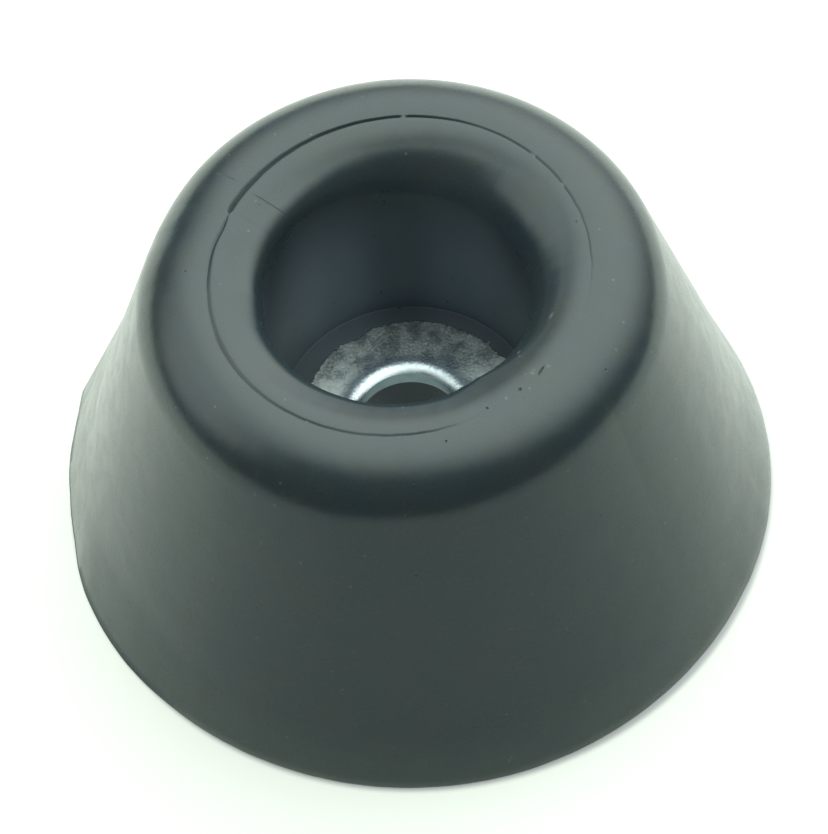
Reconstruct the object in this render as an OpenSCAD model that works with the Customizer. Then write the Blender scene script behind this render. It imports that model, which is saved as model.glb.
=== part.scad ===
// Rubber foot for a case, bench or desk: a moulded rubber cone with a deep screw recess in its
// small end, and a steel washer moulded into the floor of the recess for the screw to pull on.
//
// The origin is the centre of the wide mounting face, which is screwed against the furniture.
// +Z runs through the foot to its small end, whose rim stands on the floor in use.
// All lengths are millimetres and all angles are degrees.

/* [Body] */
// Diameter of the cone at its foot, by the mounting face
foot_d = 37.7; // [36:0.1:48]
// Diameter of the small end, measured before its edge is rounded
top_d = 26; // [25.6:0.2:30]
// Height from the mounting face to the contact rim
height = 20; // [17:0.5:30]
// Rounding from the cone into the contact rim
shoulder_r = 3.5; // [1:0.1:3.6]

/* [Trimmed flash] */
// How far the trimmed flash stands out past the cone, all round the mounting face
flash_w = 0.25; // [0.1:0.05:0.4]
// Thickness of the flash
flash_t = 0.2; // [0.1:0.05:0.5]

/* [Screw recess] */
// Diameter of the recess at its floor
recess_d = 13.7; // [12.6:0.1:13.8]
// Draft of the recess wall, which opens towards the rim
recess_draft = 0.5; // [0.2:0.1:1.2]
// Rounding of the recess mouth
mouth_r = 1.9; // [1:0.1:2.9]
// Rounding between the recess wall and its floor
floor_r = 0.2; // [0.1:0.05:0.5]
// Diameter of the screw's way through the rubber under the washer
shank_d = 7; // [6:0.1:8]

/* [Washer] */
// Outside diameter of the washer, which reaches into the rubber past the recess wall
washer_d = 15; // [14.4:0.1:18]
// Diameter of the punched screw hole
screw_hole_d = 5.3; // [4.3:0.1:5.5]
// Thickness of the washer
washer_t = 1.2; // [1:0.1:1.5]
// Height of the washer's upper face above the mounting face
washer_top = 7; // [4:0.1:8]
// Rounding that the punch leaves on the upper edge of the screw hole
punch_r = 0.65; // [0.2:0.05:0.7]
// Rounding that the die leaves on the upper outside edge
rim_r = 0.2; // [0.1:0.05:0.3]

/* [Rubber skin over the washer] */
// Thickness of the skin that flashes over the washer inside the recess
skin_t = 0.15; // [0.1:0.05:0.3]
// Mean diameter of the window that the skin leaves open
window_d = 11.5; // [10:0.1:12]
// Greatest depth of the ragged waves in the window's edge
ragged = 0.16; // [0.02:0.02:0.2]

/* [Parting line] */
// Diameter of the mould's core insert, whose edge marks the contact rim
insert_d = 19.9; // [19.6:0.1:20.2]
// Mean width of the groove that the insert leaves
parting_w = 0.11; // [0.1:0.01:0.16]
// Sideways shift of the insert in its bore, which makes the groove a crescent
insert_shift = 0.09; // [0:0.01:0.09]
// Direction of the shift: the groove is widest on the opposite side
shift_angle = -40; // [-180:5:180]
// Depth of the groove
parting_depth = 0.15; // [0.05:0.05:0.3]

/* [Hidden] */

$fn = 72;
foot_r = foot_d / 2;
flash_r = foot_r + flash_w;
top_r = top_d / 2;
recess_r = recess_d / 2;
window_r = window_d / 2;
insert_r = insert_d / 2;
floor_z = washer_top + skin_t;
washer_under = washer_top - washer_t;
cone_angle = atan2(foot_r - top_r, height - flash_t);
// Corners of the section before they are rounded, as [radius, height]
rim_corner = [top_r, height];
mouth_corner = [recess_r + (height - floor_z) * tan(recess_draft), height];
floor_corner = [recess_r, floor_z];
// Centres of the three roundings
shoulder_c = rim_corner + [-tangent_run(shoulder_r, cone_angle), -shoulder_r];
mouth_c = mouth_corner + [tangent_run(mouth_r, recess_draft), -mouth_r];
floor_c = floor_corner + [-tangent_run(floor_r, recess_draft), floor_r];
// Waves of the skin's edge: [waves around the window, phase, share of the depth]
edge_waves = [[5, 20, 0.35], [13, 75, 0.3], [31, 140, 0.35]];
edge_steps = 180;
// What a cut runs past the face that it opens
clear = 1;

// Distance from a corner to the tangent point of its rounding, where the corner
// opens to 90 degrees plus the given lean
function tangent_run(r, lean) = r / tan((90 + lean) / 2);

// Point on a circle at the given centre, radius and angle
function on_circle(centre, r, a) = centre + r * [cos(a), sin(a)];

// Radius of the skin's ragged edge in direction a
function edge_radius(a) =
    window_r + ragged * sum([for (w = edge_waves) w[2] * sin(w[0] * a + w[1])]);

function sum(list) = list * [for (item = list) 1];

// Outside of the foot: flash, cone, rounded shoulder and flat rim
module cone_section() {
    square([flash_r, flash_t]);
    polygon([
        [0, 0],
        [foot_r, 0],
        [foot_r, flash_t],
        on_circle(shoulder_c, shoulder_r, cone_angle),
        shoulder_c,
        [shoulder_c[0], height],
        [0, height]
    ]);
    translate(shoulder_c) circle(shoulder_r);
}

// Screw recess: flat floor, rounded corner, drafted wall and rounded mouth
module recess_section() {
    difference() {
        union() {
            polygon([
                [0, floor_z],
                [floor_c[0], floor_z],
                floor_c,
                on_circle(floor_c, floor_r, -recess_draft),
                on_circle(mouth_c, mouth_r, 180 - recess_draft),
                mouth_c,
                [mouth_c[0], height + clear],
                [0, height + clear]
            ]);
            translate(floor_c) circle(floor_r);
        }
        translate(mouth_c) circle(mouth_r);
    }
}

// Washer without its hole: a blanked disc with a rounded upper edge
module blank_section() {
    disc_r = washer_d / 2;
    translate([0, washer_under]) square([disc_r, washer_t - rim_r]);
    translate([0, washer_under]) square([disc_r - rim_r, washer_t]);
    translate([disc_r - rim_r, washer_top - rim_r]) circle(rim_r);
}

// Screw hole of the washer: straight wall below, rounded by the punch above
module punched_hole_section() {
    hole_r = screw_hole_d / 2;
    round_z = washer_top - punch_r;
    translate([0, washer_under - clear]) square([hole_r, washer_t + 2 * clear]);
    difference() {
        translate([0, round_z]) square([hole_r + punch_r, punch_r + clear]);
        translate([hole_r + punch_r, round_z]) circle(punch_r);
    }
}

// Window in the skin, with the ragged edge where the rubber crept over the steel
module skin_window() {
    translate([0, 0, washer_top])
        linear_extrude(skin_t)
            polygon([
                for (i = [0 : edge_steps - 1])
                    let (a = i * 360 / edge_steps)
                        edge_radius(a) * [cos(a), sin(a)]
            ]);
}

// Crescent groove where the core insert meets the mould around the recess
module parting_groove() {
    translate([0, 0, height - parting_depth])
        difference() {
            cylinder(h = parting_depth + clear, r = insert_r + parting_w);
            translate(insert_shift * [cos(shift_angle), sin(shift_angle), 0])
                cylinder(h = parting_depth + clear, r = insert_r);
        }
}

module rubber_body() {
    color([0.15, 0.17, 0.18])
        difference() {
            rotate_extrude()
                difference() {
                    cone_section();
                    recess_section();
                    blank_section();
                    translate([0, -clear]) square([shank_d / 2, washer_under + clear]);
                }
            skin_window();
            parting_groove();
        }
}

module steel_washer() {
    color([0.66, 0.68, 0.69])
        rotate_extrude()
            difference() {
                blank_section();
                punched_hole_section();
            }
}

rubber_body();
steel_washer();
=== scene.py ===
"""Looks of the rubber foot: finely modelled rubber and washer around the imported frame.

The foot stands on its wide mounting face, with the small end and its screw recess up.
Sizes are millimetres until a mesh is made, where MM turns them into metres. Directions
around the foot's axis are degrees, from +X towards +Y.
"""

import math

import bpy
import numpy as np
from mathutils import Matrix, Vector

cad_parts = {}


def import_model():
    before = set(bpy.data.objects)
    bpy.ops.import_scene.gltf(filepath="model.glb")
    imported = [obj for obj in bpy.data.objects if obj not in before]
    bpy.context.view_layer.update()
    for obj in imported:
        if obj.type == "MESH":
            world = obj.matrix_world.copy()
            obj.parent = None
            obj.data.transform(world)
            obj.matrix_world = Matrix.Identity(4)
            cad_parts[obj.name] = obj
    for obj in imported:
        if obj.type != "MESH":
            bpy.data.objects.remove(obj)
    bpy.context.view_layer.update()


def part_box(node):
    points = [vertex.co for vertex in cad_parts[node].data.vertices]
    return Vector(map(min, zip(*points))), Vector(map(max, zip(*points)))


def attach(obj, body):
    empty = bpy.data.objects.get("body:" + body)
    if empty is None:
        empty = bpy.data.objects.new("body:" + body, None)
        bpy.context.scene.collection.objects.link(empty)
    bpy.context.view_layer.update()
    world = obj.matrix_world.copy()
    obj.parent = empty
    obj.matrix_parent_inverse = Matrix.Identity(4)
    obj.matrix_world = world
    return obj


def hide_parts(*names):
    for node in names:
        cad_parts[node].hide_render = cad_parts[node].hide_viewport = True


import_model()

MM = 0.001


# ---------------------------------------------------------------- sizes

body_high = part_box("rubber_body")[1]
washer_low, washer_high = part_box("steel_washer")

FLASH_R = body_high.x / MM
HEIGHT = body_high.z / MM
WASHER_R = washer_high.x / MM
WASHER_TOP = washer_high.z / MM
WASHER_UNDER = washer_low.z / MM

FLASH_W = 0.25  # how far the trimmed flash stands out past the cone
FLASH_T = 0.2
FLASH_BREAK = 0.04  # bevel at the foot of the flash
LIP_BASE = 0.06  # height above which a raised lip of the flash leans in
LIP_LEAN = 0.3  # how far it leans in for each millimetre above that
LIP_BREAK = 0.02  # height of the bevel on top of it
FOOT_R = FLASH_R - FLASH_W  # cone at its foot
TOP_R = 13.0  # small end, before its edge is rounded
SHOULDER_R = 3.5  # rounding from the cone into the rim
RECESS_R = 6.85  # recess at its floor
RECESS_DRAFT = 0.5  # degrees
BROW_R = 2.7  # soft bend where the rim starts to slope towards the recess
SHANK_R = 3.5  # screw's way through the rubber
SKIN_T = 0.08  # rubber skin over the washer
SKIN_BREAK = 0.02  # bevel on the skin's torn edge
WINDOW_R = 5.75  # mean radius of the window in the skin
GROOVE_R = 9.92  # middle of the parting groove on the rim
GROOVE_OVAL = 0.15  # how far the groove is out of round
GROOVE_REACH = 1.3  # half widths from its middle to where the rim is whole again
OVAL_ANGLE = 45.0  # degrees, where the groove is widest across
BREAK_R = 2.84  # screw hole at the underside, where the punch broke out
PUNCH_R = 1.4  # rounding of the punched edge, which is rolled over by the punch
PUNCH_START, PUNCH_END = 3, 32  # degrees that the rolled edge leans, outside and inside
PUNCHED_R = 2.75  # where the rolled edge breaks into the wall of the hole
PUNCHED_Z = WASHER_TOP - PUNCH_R * (1 - math.cos(math.radians(PUNCH_END)))
RIM_R = 0.2  # rounding of the washer's upper outside edge
CORE_SHIFT = (-0.22, -0.16)  # how far the mould's core pin stood off the axis

FLOOR_Z = WASHER_TOP + SKIN_T

AROUND = 720  # steps around the axis
ANGLES = np.arange(AROUND) * 360 / AROUND
COS, SIN = np.cos(np.radians(ANGLES)), np.sin(np.radians(ANGLES))
SEED = 7


# ---------------------------------------------------------------- profile helpers

def arc(centre, r, start, end, steps):
    """Points on an arc of a section, from angle start to angle end in degrees."""
    angles = np.radians(np.linspace(start, end, steps + 1))
    return [(centre[0] + r * math.cos(a), centre[1] + r * math.sin(a)) for a in angles]


def line(start, end, steps):
    """Points between two corners of a section, without the corners themselves."""
    return [tuple(np.array(start) + (np.array(end) - start) * i / steps) for i in range(1, steps)]


def ring(radius, height, core=0.0):
    """Points around the axis. core is how far the ring follows the core pin off the axis."""
    x = radius * COS + core * CORE_SHIFT[0]
    y = radius * SIN + core * CORE_SHIFT[1]
    return np.stack([x, y, np.broadcast_to(height, AROUND)], -1)


def rings(section, core=0.0):
    """One ring for each (radius, height) of a section."""
    return [ring(radius, height, core) for radius, height in section]


def hill(centre, width):
    """Smooth hill of height 1 around one direction, down to 0 at width degrees from it."""
    away = (ANGLES - centre + 180) % 360 - 180
    return np.where(np.abs(away) < width, 0.5 + 0.5 * np.cos(np.pi * away / width), 0.0)


def by_direction(*stops):
    """Values around the axis, drawn straight between stops of (direction, value)."""
    return np.interp(ANGLES, [s[0] for s in stops], [s[1] for s in stops], period=360)


def ripple(first, last, height, seed):
    """Irregular waves around the axis, from first to last waves a turn."""
    rng = np.random.default_rng(SEED + seed)
    counts = np.arange(first, last + 1)
    phases = rng.uniform(0, 2 * np.pi, len(counts))
    waves = np.cos(np.radians(np.outer(ANGLES, counts)) + phases).sum(1)
    return height * waves / np.abs(waves).max()


def closed_mesh(name, loops):
    """Closed mesh through the rings, the last of which joins the first again. Its UV map
    runs around the axis and along the section."""
    points = np.concatenate(loops)
    count = len(loops)
    # One point for each ring, whose steps to the next give the map's share of the section
    middle = np.array([loop.mean(0) + (np.abs(loop - loop.mean(0)).mean(0)) for loop in loops])
    steps = np.linalg.norm(np.roll(middle, -1, 0) - middle, axis=1)
    along = np.concatenate([[0], np.cumsum(steps)]) / steps.sum()
    faces, corners = [], []
    for i in range(count):
        low, high = i * AROUND, ((i + 1) % count) * AROUND
        for j in range(AROUND):
            k = (j + 1) % AROUND
            faces.append((low + j, low + k, high + k, high + j))
            u, v = j / AROUND, (j + 1) / AROUND
            corners += [(u, along[i]), (v, along[i]), (v, along[i + 1]), (u, along[i + 1])]
    mesh = bpy.data.meshes.new(name)
    mesh.from_pydata((points * MM).tolist(), [], faces)
    uv = mesh.uv_layers.new(name="OFBake")
    uv.uv.foreach_set("vector", np.array(corners, np.float32).ravel())
    mesh.validate()
    mesh.shade_smooth()
    mesh.set_sharp_from_angle(angle=math.radians(35))
    piece = bpy.data.objects.new(name, mesh)
    bpy.context.scene.collection.objects.link(piece)
    return piece


# ---------------------------------------------------------------- rubber body

def flash_edge():
    """Radius of the flash, which was trimmed by hand in short, uneven cuts."""
    cut_away = by_direction(
        (5, 0.05), (30, 0.12), (60, 0.05), (90, 0.13), (120, 0.06), (135, 0), (148, -0.38),
        (156, -0.5), (160, -0.26), (165, -0.13), (171, -0.03), (176, 0.12), (185, 0.19), (190, 0.05),
        (195, -0.04), (210, -0.03), (222, 0.08), (240, 0.1), (258, 0.05), (280, 0.05),
        (292, 0.12), (310, 0.2), (328, 0.19), (345, 0.08),
    )
    return FLASH_R - cut_away + ripple(20, 70, 0.012, 5)


def flash_rings():
    """The flash melts into the cone, which flares towards it. Most rubber was left at the back,
    to the left, and there the flare begins high up."""
    edge = flash_edge()
    join = FLASH_T + by_direction((0, 4), (130, 4), (148, 8.5), (160, 8.5), (180, 4))
    lip = by_direction((150, 0.07), (165, 0.15), (212, 0.15), (225, 0.07))  # height of its edge
    loops = rings([(edge - FLASH_BREAK, 0.0), (edge, FLASH_BREAK), (edge, lip)])
    start = ring(edge - LIP_LEAN * (lip - LIP_BASE), lip + LIP_BREAK)
    end = ring(cone_radius(join), join)
    loops.append(start)
    for t in np.arange(1, 9) / 8:
        loops.append(start + (end - start) * t)
    return loops, join


def top_edge():
    """Radius of the small end before its edge is rounded. It is a little out of round."""
    return TOP_R + by_direction(
        (0, 0.1), (30, 0.2), (60, 0.25), (90, 0.25), (120, 0.15), (138, 0.04), (150, -0.06),
        (158, -0.08), (168, 0.05), (185, 0.12), (215, 0.25), (225, 0.3), (250, 0.28), (265, 0.06),
        (285, -0.1), (300, -0.15), (320, -0.22), (340, 0.02),
    )


def cone_radius(height):
    """Radius of the plain cone at a height, in each direction."""
    return FOOT_R + (top_edge() - FOOT_R) * (height - FLASH_T) / (HEIGHT - FLASH_T)


def shoulder_rings(steps):
    """Rounding from the cone into the rim. Its radius is a little uneven."""
    top = top_edge()
    round_r = SHOULDER_R + by_direction(
        (0, 0.1), (15, 0), (135, 0), (150, 0.4), (160, 0.4), (178, 0), (195, 0.07), (215, 0.05),
        (240, 0.05), (300, 0.15), (325, 0.3), (345, 0.3),
    )
    lean = np.arctan2(FOOT_R - top, HEIGHT - FLASH_T)
    centre_r = top - round_r / np.tan((np.pi / 2 + lean) / 2)
    centre_z = HEIGHT - round_r
    loops = []
    for t in np.arange(steps + 1) / steps:
        turn = lean + (np.pi / 2 - lean) * t
        loops.append(ring(centre_r + round_r * np.cos(turn), centre_z + round_r * np.sin(turn)))
    return loops


def mouth():
    """How far the rim slopes towards the recess before it turns down, and the radius of the
    turn. Both are uneven, as rubber edges are: the turn is wide at the right and the back, crisp
    at the left, and crispest at one place in front."""
    slope = by_direction(
        (0, 22), (30, 12), (45, 20), (60, 20), (90, 27), (105, 24), (120, 24), (150, 13), (165, 13),
        (180, 8), (195, 13), (220, 21), (240, 24), (255, 24), (285, 23), (300, 26), (330, 24),
        (345, 22),
    )
    turn_r = by_direction(
        (0, 2.5), (30, 2.8), (60, 2.5), (90, 2.5), (105, 2.1), (120, 1.6), (135, 1.3), (150, 1.4),
        (180, 1.4), (195, 2.1), (220, 1.9), (240, 1.6), (285, 1.6), (300, 0.8), (315, 1.75),
        (330, 2.3), (345, 2.4),
    )
    return np.radians(slope), turn_r


def groove():
    """Middle radius, half width and depth of the parting groove around the rim."""
    middle = GROOVE_R + GROOVE_OVAL * np.cos(2 * np.radians(ANGLES - OVAL_ANGLE))
    width = by_direction(
        (0, 0.2), (25, 0.16), (90, 0.18), (115, 0.26), (140, 0.34), (149, 0.32), (150.5, 0.16),
        (156, 0.22), (168, 0.32), (182, 0.38), (196, 0.3), (225, 0.22), (260, 0.18), (300, 0.12),
        (335, 0.12), (350, 0.2),
    )
    depth = by_direction(
        (0, 0.04), (25, 0.06), (60, 0.05), (90, 0.11), (115, 0.13), (148, 0.17), (149.5, 0.15),
        (150.5, 0.02), (154, 0.08), (160, 0.09), (170, 0.09), (182, 0.08), (200, 0.1), (225, 0.06),
        (255, 0.045), (272, 0.05), (288, 0.015), (305, 0.001), (335, 0.001), (350, 0.02),
    )
    for gap in (27.0, 41.1, 84.0):
        depth = depth * (1 - 0.9 * hill(gap, 1.2))
    middle = middle - 0.13 * hill(156, 9)
    return middle + ripple(9, 60, 0.015, 1), width / 2, depth


def window_edge():
    """Radius of the ragged edge where the rubber crept over the washer."""
    edge = WINDOW_R + ripple(3, 12, 0.06, 2) + ripple(25, 70, 0.07, 3) + ripple(90, 330, 0.09, 4)
    edge = edge - 0.2 * hill(117, 9)  # a tongue of rubber
    edge = edge + 0.26 * hill(26, 7) + 0.22 * hill(41.5, 1.6)  # torn places
    return edge


# Section of the groove, from its outer to its inner side: half widths inwards from its middle,
# and share of its depth
GROOVE_SECTION = [(-GROOVE_REACH, 0), (-1, 0.08), (-0.5, 0.56), (0, 1), (0.5, 0.56), (1, 0.08),
                  (GROOVE_REACH, 0)]


def rubber_rings():
    """Rings of the whole section: out over the mounting face, up the cone, over the rim, down
    the recess, around the washer's pocket and down the screw's way through the rubber."""
    shoulder = shoulder_rings(30)
    wall_top = RECESS_R + (HEIGHT - FLOOR_Z) * math.tan(math.radians(RECESS_DRAFT))

    loops = rings([(SHANK_R, 0.0)] + line((SHANK_R, 0.0), (FOOT_R, 0.0), 8))
    flash, join = flash_rings()
    loops += flash
    for i in range(1, 12):
        height = join + (shoulder[0][:, 2] - join) * i / 12
        loops.append(ring(cone_radius(height), height))
    loops += shoulder

    middle, half, depth = groove()
    for across, share in GROOVE_SECTION:
        loops.append(ring(middle - across * half, HEIGHT - share * depth))

    inside = middle - GROOVE_REACH * half
    slope, turn_r = mouth()
    for t in np.arange(1, 6) / 5:
        lean = slope * t
        loops.append(ring(inside - BROW_R * np.sin(lean), HEIGHT - BROW_R * (1 - np.cos(lean))))
    brow = inside - BROW_R * np.sin(slope), HEIGHT - BROW_R * (1 - np.cos(slope))
    edge_r = wall_top + turn_r * (1 - np.sin(slope))
    edge_z = brow[1] - (brow[0] - edge_r) * np.tan(slope)
    loops.append(ring((brow[0] + edge_r) / 2, (brow[1] + edge_z) / 2))
    centre_r, centre_z = wall_top + turn_r, edge_z - turn_r * np.cos(slope)
    for t in np.linspace(0, 1, 29):
        turn = np.pi / 2 + slope + (math.radians(90 - RECESS_DRAFT) - slope) * t
        loops.append(ring(centre_r + turn_r * np.cos(turn), centre_z + turn_r * np.sin(turn), core=t))
    wall = loops[-1]
    for t in np.arange(1, 11) / 10:
        loops.append(wall + (ring(RECESS_R, FLOOR_Z, core=1) - wall) * t)

    edge = window_edge()
    loops += rings([
        ((edge + RECESS_R) / 2, FLOOR_Z),
        (edge + SKIN_BREAK, FLOOR_Z),
        (edge, FLOOR_Z - SKIN_BREAK),
        (edge, WASHER_TOP),
    ])
    rim = arc((WASHER_R - RIM_R, WASHER_TOP - RIM_R), RIM_R, 90, 0, 4)
    loops += rings(rim + [(WASHER_R, WASHER_UNDER)], core=1)
    loops += rings([(SHANK_R, WASHER_UNDER)] + line((SHANK_R, WASHER_UNDER), (SHANK_R, 0.0), 6))
    return loops


# ---------------------------------------------------------------- steel washer

def washer_rings():
    """Rings of the whole section: out along the underside, over the outside, in along the
    upper face, over the rolled edge and down the punched hole."""
    punch_c = (PUNCHED_R + PUNCH_R * math.sin(math.radians(PUNCH_END)),
               WASHER_TOP - PUNCH_R * math.cos(math.radians(PUNCH_START)))
    rim_c = (WASHER_R - RIM_R, WASHER_TOP - RIM_R)
    section = [(BREAK_R, WASHER_UNDER)]
    section += line((BREAK_R, WASHER_UNDER), (WASHER_R, WASHER_UNDER), 8)
    section += [(WASHER_R, WASHER_UNDER)]
    section += arc(rim_c, RIM_R, 0, 90, 4)
    rolled = arc(punch_c, PUNCH_R, 90 + PUNCH_START, 90 + PUNCH_END, 14)
    section += line((WASHER_R - RIM_R, WASHER_TOP), rolled[0], 16)
    section += rolled
    section += line(rolled[-1], (BREAK_R, WASHER_UNDER), 6)
    return rings(section, core=1)


# ---------------------------------------------------------------- node helpers

def put(tree, socket, value):
    """Link another node's output into a socket, or set the socket to a plain value."""
    if isinstance(value, bpy.types.NodeSocket):
        tree.links.new(value, socket)
    else:
        socket.default_value = value


class Surface:
    """A material and short ways to add nodes to it. Coordinates are millimetres on the foot."""

    def __init__(self, name):
        self.material = bpy.data.materials.new(name)
        self.material.use_nodes = True
        self.tree = self.material.node_tree
        self.shader = self.tree.nodes["Principled BSDF"]
        here = self.tree.nodes.new("ShaderNodeTexCoord").outputs["Object"]
        self.place = self.vector("SCALE", here, scale=1 / MM)

    def put(self, socket, value):
        put(self.tree, socket, value)

    def add(self, kind, inputs, **settings):
        node = self.tree.nodes.new("ShaderNode" + kind)
        for name, value in settings.items():
            setattr(node, name, value)
        for name, value in inputs.items():
            self.put(node.inputs[name], value)
        return node

    def vector(self, operation, *values, scale=None):
        node = self.add("VectorMath", dict(enumerate(values)), operation=operation)
        if scale is not None:
            node.inputs["Scale"].default_value = scale
        return node.outputs["Value" if operation in ("LENGTH", "DOT_PRODUCT") else "Vector"]

    def facing(self, outwards, direction):
        """How far unit vectors point in one direction around the axis, from -1 to 1."""
        turn = math.radians(direction)
        return self.vector("DOT_PRODUCT", outwards, (math.cos(turn), math.sin(turn), 0))

    def maths(self, operation, *values):
        return self.add("Math", dict(enumerate(values)), operation=operation).outputs[0]

    def moved(self, shift):
        """Coordinates pushed aside, so that two patterns don't lie on each other."""
        return self.vector("ADD", self.place, (shift, -shift, 0.5 * shift))

    def noise(self, size, detail=2.0, shift=0.0):
        """Cloudy values around 0.5. size is the width of a cloud in millimetres."""
        inputs = {"Vector": self.moved(shift), "Scale": 1 / size, "Detail": detail}
        return self.add("TexNoise", inputs).outputs[0]

    def band(self, value, start, end, low=0.0, high=1.0):
        """Smooth step of value from low at start to high at end."""
        inputs = {"Value": value, "From Min": start, "From Max": end, "To Min": low, "To Max": high}
        return self.add("MapRange", inputs, interpolation_type="SMOOTHSTEP").outputs[0]

    def specks(self, apart, size, shift):
        """Mask of sparse round specks, about apart millimetres from each other."""
        inputs = {"Vector": self.moved(shift), "Scale": 1 / apart}
        distance = self.add("TexVoronoi", inputs).outputs["Distance"]
        return self.band(distance, size / apart, 0.4 * size / apart)

    def mark(self, direction, radius, height, length, width, lean=0.0):
        """Mask of one short mark on the foot. With no lean its length runs outwards."""
        turn = math.radians(direction)
        around = (radius * math.cos(turn), radius * math.sin(turn), height)
        inputs = {
            "Vector": self.place,
            "Location": around,
            "Rotation": (0, 0, turn + math.radians(lean)),
            "Scale": (length / 2, width / 2, 2),
        }
        inside = self.add("Mapping", inputs, vector_type="TEXTURE").outputs[0]
        return self.band(self.vector("LENGTH", inside), 1.0, 0.3)

    def blend(self, share, first, second):
        """Mix of two colours: the first at share 0, the second at share 1."""
        node = self.tree.nodes.new("ShaderNodeMix")
        node.data_type = "RGBA"
        for socket, value in zip((node.inputs[0], node.inputs[6], node.inputs[7]), (share, first, second)):
            self.put(socket, value)
        return node.outputs[2]

    def bumps(self, *layers):
        """Bump maps on top of each other: heights from 0 to 1, and the millimetres of 1."""
        normal = None
        for height, depth in layers:
            inputs = {"Height": height, "Distance": depth * MM}
            if normal:
                inputs["Normal"] = normal
            normal = self.add("Bump", inputs).outputs[0]
        self.put(self.shader.inputs["Normal"], normal)


# ---------------------------------------------------------------- rubber

RUBBER_COOL = (0.022, 0.039, 0.046, 1)
RUBBER_WARM = (0.026, 0.040, 0.041, 1)
BLOOM_AND_PAINTED_LIGHT = (0.25, 0.32, 0.38, 1)  # dull film on the recess wall: bloom in part, and painted light in the recess
DUST = (0.10, 0.125, 0.12, 1)
PIT = (0.006, 0.009, 0.010, 1)

# Marks on the rim: direction, radius, length outwards, width, lean
CRACKS = [(139.4, 11.1, 1.8, 0.09, 2), (139.9, 8.3, 2.7, 0.09, 6)]
NICKS = [(-45.6, 9.6, 0.15, 0.85, 12), (-54.8, 9.63, 0.2, 0.24, 0), (-66.7, 9.59, 0.2, 0.14, 30),
         (-81.6, 10.67, 0.16, 0.14, 0)]
FLECKS = [(-23.6, 8.25, 0.2, 0.6, -12), (-42, 7.7, 0.18, 0.4, 0), (142, 8.9, 0.14, 0.14, 0),
          (-60, 9.62, 0.2, 0.2, 0)]
SCUFFS = [(-47.6, 9.35, 0.5, 0.6, 0), (-49.6, 9.15, 0.3, 0.34, 0), (-43, 9.75, 0.3, 0.3, 0)]


def rubber_material():
    rubber = Surface("satin_black_rubber")
    clouds = rubber.noise(2.5, detail=3)
    grit = rubber.noise(0.2, detail=2, shift=11)
    light = rubber.specks(1.3, 0.09, shift=5)
    dark = rubber.specks(1.7, 0.08, shift=-9)
    height = HEIGHT - 0.3  # of the marks, whose masks are deep enough for the sloping rim
    cracks = [rubber.mark(a, r, height, *shape) for a, r, *shape in CRACKS]
    nicks = [rubber.mark(a, r, height, *shape) for a, r, *shape in NICKS]
    flecks = [rubber.mark(a, r, height, *shape) for a, r, *shape in FLECKS]
    scuffs = [rubber.mark(a, r, height, *shape) for a, r, *shape in SCUFFS]
    scuffs = [rubber.maths("MULTIPLY", mask, rubber.band(grit, 0.4, 0.65, 0.1, 0.7)) for mask in scuffs]

    colour = rubber.blend(rubber.band(clouds, 0.35, 0.65), RUBBER_COOL, RUBBER_WARM)
    radius = rubber.vector("LENGTH", rubber.vector("MULTIPLY", rubber.place, (1, 1, 0)))
    at = rubber.add("SeparateXYZ", {"Vector": rubber.place}).outputs
    aside = rubber.maths("ABSOLUTE", rubber.maths("DIVIDE", at["X"], radius))
    from_core = rubber.vector("SUBTRACT", rubber.place, (*CORE_SHIFT, 0))
    core_radius = rubber.vector("LENGTH", rubber.vector("MULTIPLY", from_core, (1, 1, 0)))
    # The film fades towards the mouth, the floor and the skin, below the washer's upper face,
    # at the back and front, and at the far sides. It is bloom in part. Its pale colour paints
    # light in the recess, and its fades paint shade, most in the corner at the floor
    film_and_painted_light = rubber.band(radius, 9, 8)
    for fade in (
        rubber.band(at["Z"], 20, 11),
        rubber.band(at["Z"], FLOOR_Z, FLOOR_Z + 0.8, 0.75),
        rubber.band(at["Z"], WASHER_TOP - 0.5, WASHER_TOP - 0.1),
        rubber.band(core_radius, RECESS_R - 0.1, RECESS_R - 0.02, 0.55),
        rubber.band(aside, 0.05, 0.42, 0.5, 0.88),
        rubber.band(aside, 1, 0.6, 0.35),
    ):
        film_and_painted_light = rubber.maths("MULTIPLY", film_and_painted_light, fade)
    # The recess's painted light and shade, laid on as a pale film
    colour = rubber.blend(film_and_painted_light, colour, BLOOM_AND_PAINTED_LIGHT)
    for mask in [light] + flecks + scuffs:
        colour = rubber.blend(mask, colour, DUST)
    for mask in [dark] + nicks:
        colour = rubber.blend(mask, colour, PIT)
    rubber.put(rubber.shader.inputs["Base Color"], colour)

    roughness = rubber.band(rubber.noise(1.1, detail=4, shift=20), 0.3, 0.7, 0.24, 0.29)
    roughness = rubber.maths("ADD", roughness, rubber.maths("MULTIPLY", film_and_painted_light, 0.2))
    rubber.put(rubber.shader.inputs["Roughness"], roughness)
    rubber.shader.inputs["IOR"].default_value = 1.65
    rubber.shader.inputs["Specular Tint"].default_value = (0.84, 1, 0.90, 1)

    cuts = rubber.maths("MULTIPLY", dark, 0.3)
    for mask in nicks:
        cuts = rubber.maths("MAXIMUM", cuts, mask)
    hairline = rubber.maths("MAXIMUM", *cracks)
    rubber.bumps(
        (rubber.noise(2.4, detail=1, shift=3), 0.03),
        (rubber.noise(0.35, detail=3, shift=7), 0.004),
        (rubber.maths("SUBTRACT", 1, cuts), 0.05),
        (rubber.maths("SUBTRACT", 1, hairline), 0.02),
    )
    return rubber.material


# ---------------------------------------------------------------- zinc-plated steel

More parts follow.
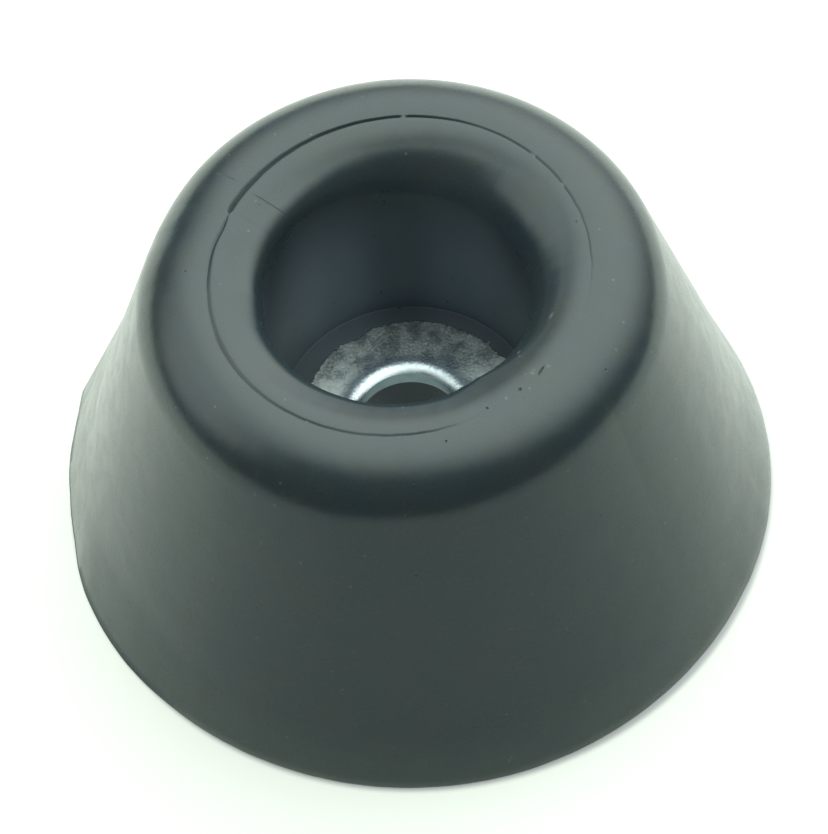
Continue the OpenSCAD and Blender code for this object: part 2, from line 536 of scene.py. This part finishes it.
ZINC = (0.66, 0.79, 0.75, 1)
ZINC_WORN = (0.36, 0.45, 0.43, 1)  # between the clouds, and on the torn wall of the hole
ZINC_DARK_AND_SHADE = (0.16, 0.22, 0.22, 1)  # painted shade on the washer's back, and blotches
ZINC_BLUE = (0.14, 0.20, 0.24, 1)  # stain around the punched edge, spread further out on the washer's back as painted shade
ZINC_BRIGHT = (0.72, 0.83, 0.79, 1)  # crests of the grain, and sparkles
ZINC_POLISHED = (0.58, 0.72, 0.72, 1)  # rolled edge, rubbed by the punch
SHADED_SIDE = 78  # degrees, the direction in which the washer is painted darkest, as shade


def washer_material():
    zinc = Surface("zinc_plated_steel")
    from_core = zinc.vector("SUBTRACT", zinc.place, (*CORE_SHIFT, 0))
    flat = zinc.vector("MULTIPLY", from_core, (1, 1, 0))
    radius = zinc.vector("LENGTH", flat)
    grain = zinc.noise(0.16, detail=3, shift=2)
    sparkle = zinc.specks(0.17, 0.09, shift=4)
    mottle = zinc.noise(1.1, detail=4, shift=8)
    blotch = zinc.noise(0.4, detail=2, shift=17)
    facing = zinc.facing(zinc.vector("NORMALIZE", flat), SHADED_SIDE)
    # Painted shade on the washer's side towards the back of the recess, uneven with the mottle
    painted_shade = zinc.maths("MULTIPLY", zinc.band(facing, 0.35, 0.9), zinc.band(mottle, 0.25, 0.6, 1, 0.6))
    fuzzy = zinc.maths("ADD", radius, zinc.maths("MULTIPLY", zinc.maths("SUBTRACT", grain, 0.5), 0.35))
    face = zinc.band(fuzzy, 3.0, 3.45)  # 0 on the punched rounding, 1 on the flat
    # Stain around the punched edge. Further out it is painted shade on the washer's back
    stain_and_shade = zinc.maths("MULTIPLY", zinc.band(fuzzy, 4.8, 4.2, 0, 0.5), painted_shade)
    stain_and_shade = zinc.maths("MAXIMUM", stain_and_shade, zinc.band(fuzzy, 4.2, 3.5, 0, 0.8))
    stain_and_shade = zinc.maths("MULTIPLY", face, stain_and_shade)
    height = zinc.add("SeparateXYZ", {"Vector": zinc.place}).outputs["Z"]
    torn = zinc.band(height, PUNCHED_Z, PUNCHED_Z - 0.04)  # the wall of the punched hole

    colour = zinc.blend(zinc.band(mottle, 0.4, 0.6), ZINC_WORN, ZINC)
    # Blotches, mostly towards the back, where they add to the painted shade
    blotch = zinc.maths("MULTIPLY", zinc.band(blotch, 0.5, 0.66, 0, 0.5), zinc.band(facing, -0.2, 0.7))
    colour = zinc.blend(blotch, colour, ZINC_DARK_AND_SHADE)
    colour = zinc.blend(zinc.band(grain, 0.46, 0.64, 0.0, 0.6), colour, ZINC_BRIGHT)
    # Painted shade on the washer's back
    colour = zinc.blend(zinc.maths("MULTIPLY", painted_shade, 0.8), colour, ZINC_DARK_AND_SHADE)
    sparkle = zinc.maths("MULTIPLY", sparkle, zinc.band(mottle, 0.4, 0.6, 0.05, 0.5))
    colour = zinc.blend(sparkle, colour, ZINC_BRIGHT)
    colour = zinc.blend(stain_and_shade, colour, ZINC_BLUE)
    colour = zinc.blend(zinc.maths("SUBTRACT", 1, face), colour, ZINC_POLISHED)
    colour = zinc.blend(zinc.maths("MULTIPLY", torn, 0.7), colour, ZINC_WORN)
    zinc.put(zinc.shader.inputs["Base Color"], colour)

    rough = zinc.band(mottle, 0.3, 0.7, 0.38, 0.5)
    polished = zinc.maths("MULTIPLY", zinc.maths("SUBTRACT", 1, face), 0.2)
    rough = zinc.maths("ADD", zinc.maths("SUBTRACT", rough, polished), zinc.maths("MULTIPLY", torn, 0.1))
    zinc.put(zinc.shader.inputs["Roughness"], rough)
    zinc.shader.inputs["Metallic"].default_value = 1
    zinc.bumps((mottle, 0.02), (zinc.maths("MULTIPLY", grain, face), 0.018))
    return zinc.material


# ---------------------------------------------------------------- pieces

def stand_in(piece, node, material):
    """Give a piece its material, and let it stand for its CAD node."""
    piece.data.materials.append(material)
    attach(piece, "root")
    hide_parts(node)


stand_in(closed_mesh("rubber_foot_body", rubber_rings()), "rubber_body", rubber_material())
stand_in(closed_mesh("moulded_in_washer", washer_rings()), "steel_washer",
         washer_material())


# ---------------------------------------------------------------- stage

FLOOR_SHORT, FLOOR_LONG = 0.16, 0.6  # metres, to the right and front, and to the left and back
PAPER = (0.56, 0.61, 0.60, 1)
PAPER_SHADE = (0.54, 0.59, 0.58, 1)  # between its fibres
PAPER_SHADED_UNDER = (0.08, 0.17, 0.19, 1)  # inside the screw hole, painted dark for the shade under the foot
GLOW_COLOUR = (0.90, 1.0, 0.82, 1)
UNDER_COLOUR = (0.87, 1.0, 1.02, 1)  # of the glow inside the screw hole
CAMERA_GLOW = 0.5  # white that the paper shows of its own to the camera
GLOSS_GLOW = 0.86  # and to gloss, behind the foot
BRIGHT_SIDE = 90  # degrees, the direction in which it shows most
NEAR_GLOW = 0.34  # and to gloss, close around the foot
NEAR_REACH = 8  # millimetres from the foot at which that has faded out
EDGE_GLOW = 0.4  # added to it right at the foot's edge
EDGE_REACH = 0.7  # and at which this has
HOLE_GLOW = 0.37  # and inside the screw hole, where light comes down through the washer
SHADOW_SIDE = (0.1, -0.3, 0)  # millimetres that the painted contact shadow leans to the front right
AMBIENT = 0.12  # light from the whole room, outside the patches too
# Soft patches of light in the room: direction, elevation, reach in degrees, strength
SOFT_PATCHES = [(57, 56, 67, 2.4), (167, 36, 32.5, 1.45)]


def floor():
    """Sheet of paper under the foot. Its own glow shows only to the camera, in gloss and through
    glass. To the camera it ends at the foot's edge, so that the contact shadow stays. That end
    is off centre, which paints the shadow wider towards the front right."""
    mesh = bpy.data.meshes.new("studio_floor")
    short, long = FLOOR_SHORT, FLOOR_LONG
    mesh.from_pydata(
        [(-long, -short, 0), (short, -short, 0), (short, long, 0), (-long, long, 0)],
        [],
        [(0, 1, 2, 3)],
    )
    stage = bpy.data.objects.new("studio_floor", mesh)
    bpy.context.scene.collection.objects.link(stage)
    paper = Surface("white_paper")
    fibres = paper.noise(0.8, detail=4)
    sheet = paper.blend(fibres, PAPER, PAPER_SHADE)
    paper.put(paper.shader.inputs["Roughness"], paper.band(fibres, 0.3, 0.7, 0.45, 0.55))
    rays = paper.tree.nodes.new("ShaderNodeLightPath").outputs
    # The camera's glow fades out around a centre moved to the front right: painted contact shadow
    from_foot = paper.vector("LENGTH", paper.vector("SUBTRACT", paper.place, SHADOW_SIDE))
    glow_past_painted_shadow = paper.band(from_foot, FLASH_R - 0.35, FLASH_R + 0.1)
    outwards = paper.vector("NORMALIZE", paper.vector("MULTIPLY", paper.place, (1, 1, 0)))
    back = paper.facing(outwards, BRIGHT_SIDE)
    radius = paper.vector("LENGTH", paper.place)
    outside = paper.band(radius, FLASH_R - 0.4, FLASH_R - 0.1)
    behind = paper.band(back, -1.05, 0.5, 0.0, GLOSS_GLOW)
    near = paper.band(radius, FLASH_R + NEAR_REACH, FLASH_R, 0.0, NEAR_GLOW)
    at_edge = paper.band(radius, FLASH_R + EDGE_REACH, FLASH_R, 0.0, EDGE_GLOW)
    near = paper.maths("ADD", near, at_edge)
    rest = paper.maths("MULTIPLY", behind, paper.maths("SUBTRACT", 1, near))
    reflected = paper.maths("ADD", near, rest)
    under = paper.band(radius, SHANK_R + 0.3, SHANK_R)
    # Paper inside the screw hole painted dark: painted shade under the foot
    paper.put(paper.shader.inputs["Base Color"], paper.blend(under, sheet, PAPER_SHADED_UNDER))
    hole = paper.maths("MULTIPLY", under, HOLE_GLOW)
    reflected = paper.maths("ADD", paper.maths("MULTIPLY", outside, reflected), hole)
    glow = paper.maths("MULTIPLY", rays["Is Camera Ray"], paper.maths("MULTIPLY", glow_past_painted_shadow, CAMERA_GLOW))
    for kind in ("Is Glossy Ray", "Is Transmission Ray"):
        glow = paper.maths("ADD", glow, paper.maths("MULTIPLY", rays[kind], reflected))
    tint = paper.blend(under, GLOW_COLOUR, UNDER_COLOUR)
    paper.put(paper.shader.inputs["Emission Color"], tint)
    paper.put(paper.shader.inputs["Emission Strength"], glow)
    mesh.materials.append(paper.material)


def world():
    """White room whose light comes from a large soft patch behind the foot, to the right, and
    a smaller one at its left. The camera's side is dim."""
    room = bpy.data.worlds.new("white_room")
    bpy.context.scene.world = room
    room.use_nodes = True
    nodes, links = room.node_tree.nodes, room.node_tree.links
    towards = nodes.new("ShaderNodeTexCoord").outputs["Generated"]
    light = AMBIENT
    for direction, elevation, reach, strength in SOFT_PATCHES:
        turn, rise = math.radians(direction), math.radians(elevation)
        centre = (math.cos(rise) * math.cos(turn), math.cos(rise) * math.sin(turn), math.sin(rise))
        near = nodes.new("ShaderNodeVectorMath")
        near.operation = "DOT_PRODUCT"
        links.new(towards, near.inputs[0])
        near.inputs[1].default_value = centre
        fade = nodes.new("ShaderNodeMapRange")
        fade.interpolation_type = "SMOOTHSTEP"
        links.new(near.outputs["Value"], fade.inputs["Value"])
        fade.inputs["From Min"].default_value = math.cos(math.radians(reach))
        fade.inputs["To Max"].default_value = strength
        total = nodes.new("ShaderNodeMath")
        links.new(fade.outputs[0], total.inputs[0])
        put(room.node_tree, total.inputs[1], light)
        light = total.outputs[0]
    seen = nodes.new("ShaderNodeMix")
    links.new(nodes.new("ShaderNodeLightPath").outputs["Is Camera Ray"], seen.inputs[0])
    links.new(light, seen.inputs[2])
    seen.inputs[3].default_value = 1.0  # white where the camera sees past the floor
    links.new(seen.outputs[0], nodes["Background"].inputs["Strength"])
    nodes["Background"].inputs["Color"].default_value = (1, 1, 1, 1)


# ---------------------------------------------------------------- camera

ELEVATION = 56.7  # degrees above the floor
ROLL = -5.65  # degrees
UNIT = 19.0  # mm, the length that the camera's other values are given in
DISTANCE = 17.0  # in units
FOCAL = 356.3  # image pixels that one unit spans at the camera's target
AIM = (0.0033, 0.0, 0.338)  # the camera's target, in units
FRAME_W = 828
SENSOR = 36.0


def camera():
    """Camera in front of the foot, looking down into its recess, and turned a little."""
    elevation, roll = math.radians(ELEVATION), math.radians(ROLL)
    back = Vector((0, -math.cos(elevation), math.sin(elevation)))
    right = Vector((1, 0, 0))
    up = back.cross(right)
    turned_right = right * math.cos(roll) + up * math.sin(roll)
    turned_up = up * math.cos(roll) - right * math.sin(roll)
    place_at = (Vector(AIM) + back * DISTANCE) * UNIT * MM
    lens = bpy.data.cameras.new("photo_camera")
    lens.sensor_fit = "HORIZONTAL"
    lens.sensor_width = SENSOR
    lens.lens = FOCAL * DISTANCE / FRAME_W * SENSOR
    lens.clip_start, lens.clip_end = 0.01, 5.0
    eye = bpy.data.objects.new("photo_camera", lens)
    bpy.context.scene.collection.objects.link(eye)
    turn = Matrix((turned_right, turned_up, back)).transposed()
    eye.matrix_world = Matrix.Translation(place_at) @ turn.to_4x4()
    bpy.context.scene.camera = eye


floor()
world()
camera()
bpy.context.scene.view_settings.view_transform = "Standard"
